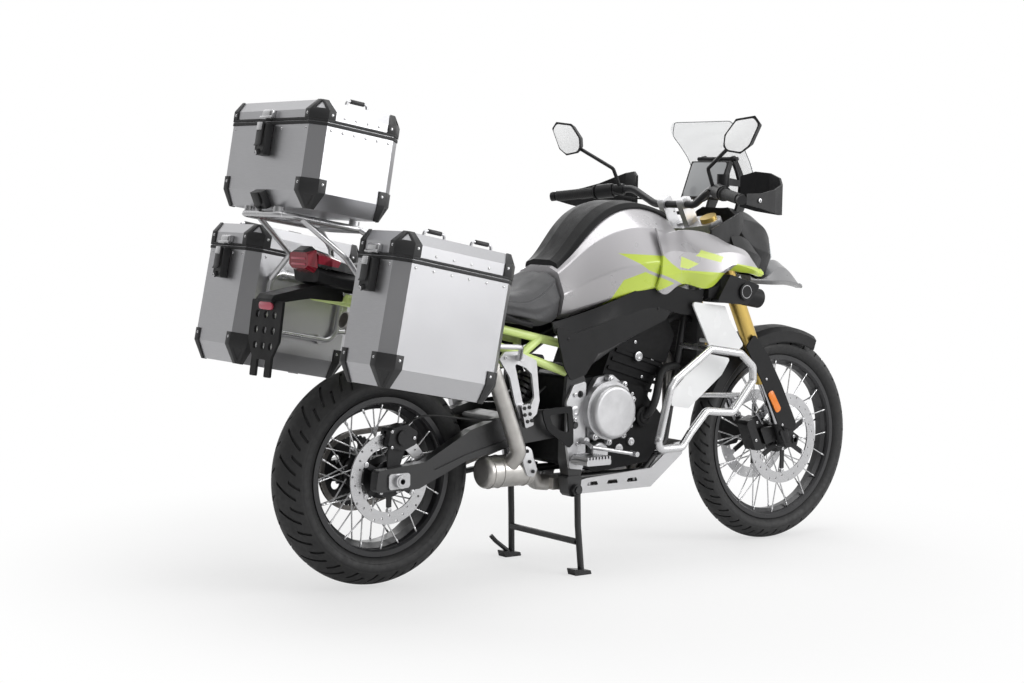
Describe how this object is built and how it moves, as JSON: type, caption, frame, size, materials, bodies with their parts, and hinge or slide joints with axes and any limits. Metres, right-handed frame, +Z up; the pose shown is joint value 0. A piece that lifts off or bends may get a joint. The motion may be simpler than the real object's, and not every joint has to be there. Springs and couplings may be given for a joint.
{
  "type": "adventure motorcycle with three luggage cases",
  "caption": "Adventure touring motorcycle on its centre stand with aluminium side and top cases, wire-spoked wheels, crash bars, handguards and a tall screen.",
  "frame": {"origin": "on the floor under the middle of the machine's bounding box", "axes": "+X forward, +Y to the rider's left, +Z up"},
  "size_m": [2.3365, 1.06, 1.4],
  "materials": {
    "frame_paint": "satin powder coat",
    "subframe_paint": "satin paint",
    "cast_silver": "blasted casting",
    "swingarm_paint": "satin paint",
    "steel": "zinc plated",
    "caliper_black": "anodised",
    "chain_steel": "oiled",
    "spring_black": "painted",
    "engine_black": "painted casting",
    "exhaust_steel": "heat tinted",
    "radiator_black": "painted fins",
    "shroud_white": "moulded",
    "stainless": "brushed",
    "skid_aluminium": "brushed sheet",
    "panel_silver": "metallic paint with green flashes",
    "dark_plastic": "grained",
    "seat_cover": "grained vinyl",
    "lamp_glass": "clear lens",
    "screen": "clear",
    "display": "glass front",
    "rack_silver": "satin tube",
    "red_lens": "lens",
    "case_aluminium": "anodised sheet",
    "stand_black": "painted",
    "fork_gold": "anodised",
    "chrome": "hard chrome",
    "yoke_silver": "machined",
    "bar_black": "anodised",
    "grip_rubber": "ribbed",
    "control_black": "moulded",
    "mirror_housing": "moulded",
    "tyre": "tread",
    "rim_black": "anodised",
    "hub_black": "painted casting",
    "disc_steel": "ground"
  },
  "bodies": {
    "chassis": {"main_frame": "frame_paint", "rear_subframe": "subframe_paint", "footrest_brackets": "cast_silver", "foot_pegs": "steel", "swingarm": "swingarm_paint", "rear_axle": "steel", "rear_caliper": "caliper_black", "chain": "chain_steel", "shock_absorber": "spring_black", "engine": "engine_black", "engine_covers": "cast_silver", "exhaust_pipes": "exhaust_steel", "muffler": "exhaust_steel", "radiator": "radiator_black", "radiator_shrouds": "shroud_white", "crash_bars": "stainless", "skid_plate": "skid_aluminium", "fuel_tank": "panel_silver", "tank_cover": "dark_plastic", "rider_seat": "seat_cover", "passenger_seat": "seat_cover", "tail_unit": "dark_plastic", "side_panels": "dark_plastic", "fairing_wings": "panel_silver", "lamp_covers": "dark_plastic", "nose_fairing": "dark_plastic", "headlamp": "lamp_glass", "beak": "panel_silver", "windscreen": "screen", "instrument": "display", "luggage_frames": "rack_silver", "tail_light": "red_lens", "plate_holder": "dark_plastic", "right_pannier": "case_aluminium", "left_pannier": "case_aluminium", "top_case": "case_aluminium"},
    "steering": {"fork_outers": "fork_gold", "fork_stanchions": "chrome", "fork_feet": "caliper_black", "front_calipers": "caliper_black", "yokes": "yoke_silver", "handlebar": "bar_black", "grips": "grip_rubber", "controls": "control_black", "mirrors": "mirror_housing", "handguards": "control_black", "front_mudguard": "dark_plastic"},
    "front_wheel": {"front_tyre": "tyre", "front_rim": "rim_black", "front_hub": "hub_black", "front_discs": "disc_steel"},
    "rear_wheel": {"rear_tyre": "tyre", "rear_rim": "rim_black", "rear_hub": "hub_black", "rear_disc": "disc_steel"},
    "centre_stand": {"centre_stand": "stand_black"},
    "side_stand": {"side_stand": "stand_black"},
    "right_pannier_lid": {"right_pannier_lid": "case_aluminium"},
    "left_pannier_lid": {"left_pannier_lid": "case_aluminium"},
    "top_case_lid": {"top_case_lid": "case_aluminium"}
  },
  "joints": [
    {"name": "steering_turn", "type": "hinge", "parent": "chassis", "child": "steering", "pos_m": [0.45945, 0, 0.94949], "axis": [-0.4462, 0, 0.8949], "range_deg": [-36, 36]},
    {"name": "front_wheel_spin", "type": "hinge", "parent": "steering", "child": "front_wheel", "pos_m": [0.82085, 0, 0.3475], "axis": [0, 1, 0], "continuous": true},
    {"name": "rear_wheel_spin", "type": "hinge", "parent": "chassis", "child": "rear_wheel", "pos_m": [-0.78615, 0, 0.331], "axis": [0, 1, 0], "continuous": true},
    {"name": "centre_stand_swing", "type": "hinge", "parent": "chassis", "child": "centre_stand", "pos_m": [-0.14815, 0, 0.258], "axis": [0, 1, 0], "range_deg": [0, 78]},
    {"name": "side_stand_swing", "type": "hinge", "parent": "chassis", "child": "side_stand", "pos_m": [-0.09615, 0.216, 0.302], "axis": [0, 0.9135, 0.4067], "range_deg": [-97, 0]},
    {"name": "right_pannier_lid_hinge", "type": "hinge", "parent": "chassis", "child": "right_pannier_lid", "pos_m": [-0.65432, -0.411, 0.91238], "axis": [0, 1, 0], "range_deg": [0, 90]},
    {"name": "left_pannier_lid_hinge", "type": "hinge", "parent": "chassis", "child": "left_pannier_lid", "pos_m": [-0.65432, 0.389, 0.91238], "axis": [0, 1, 0], "range_deg": [0, 90]},
    {"name": "top_case_lid_hinge", "type": "hinge", "parent": "chassis", "child": "top_case_lid", "pos_m": [-0.84225, 0, 1.29424], "axis": [0, 1, 0], "range_deg": [0, 90]}
  ]
}
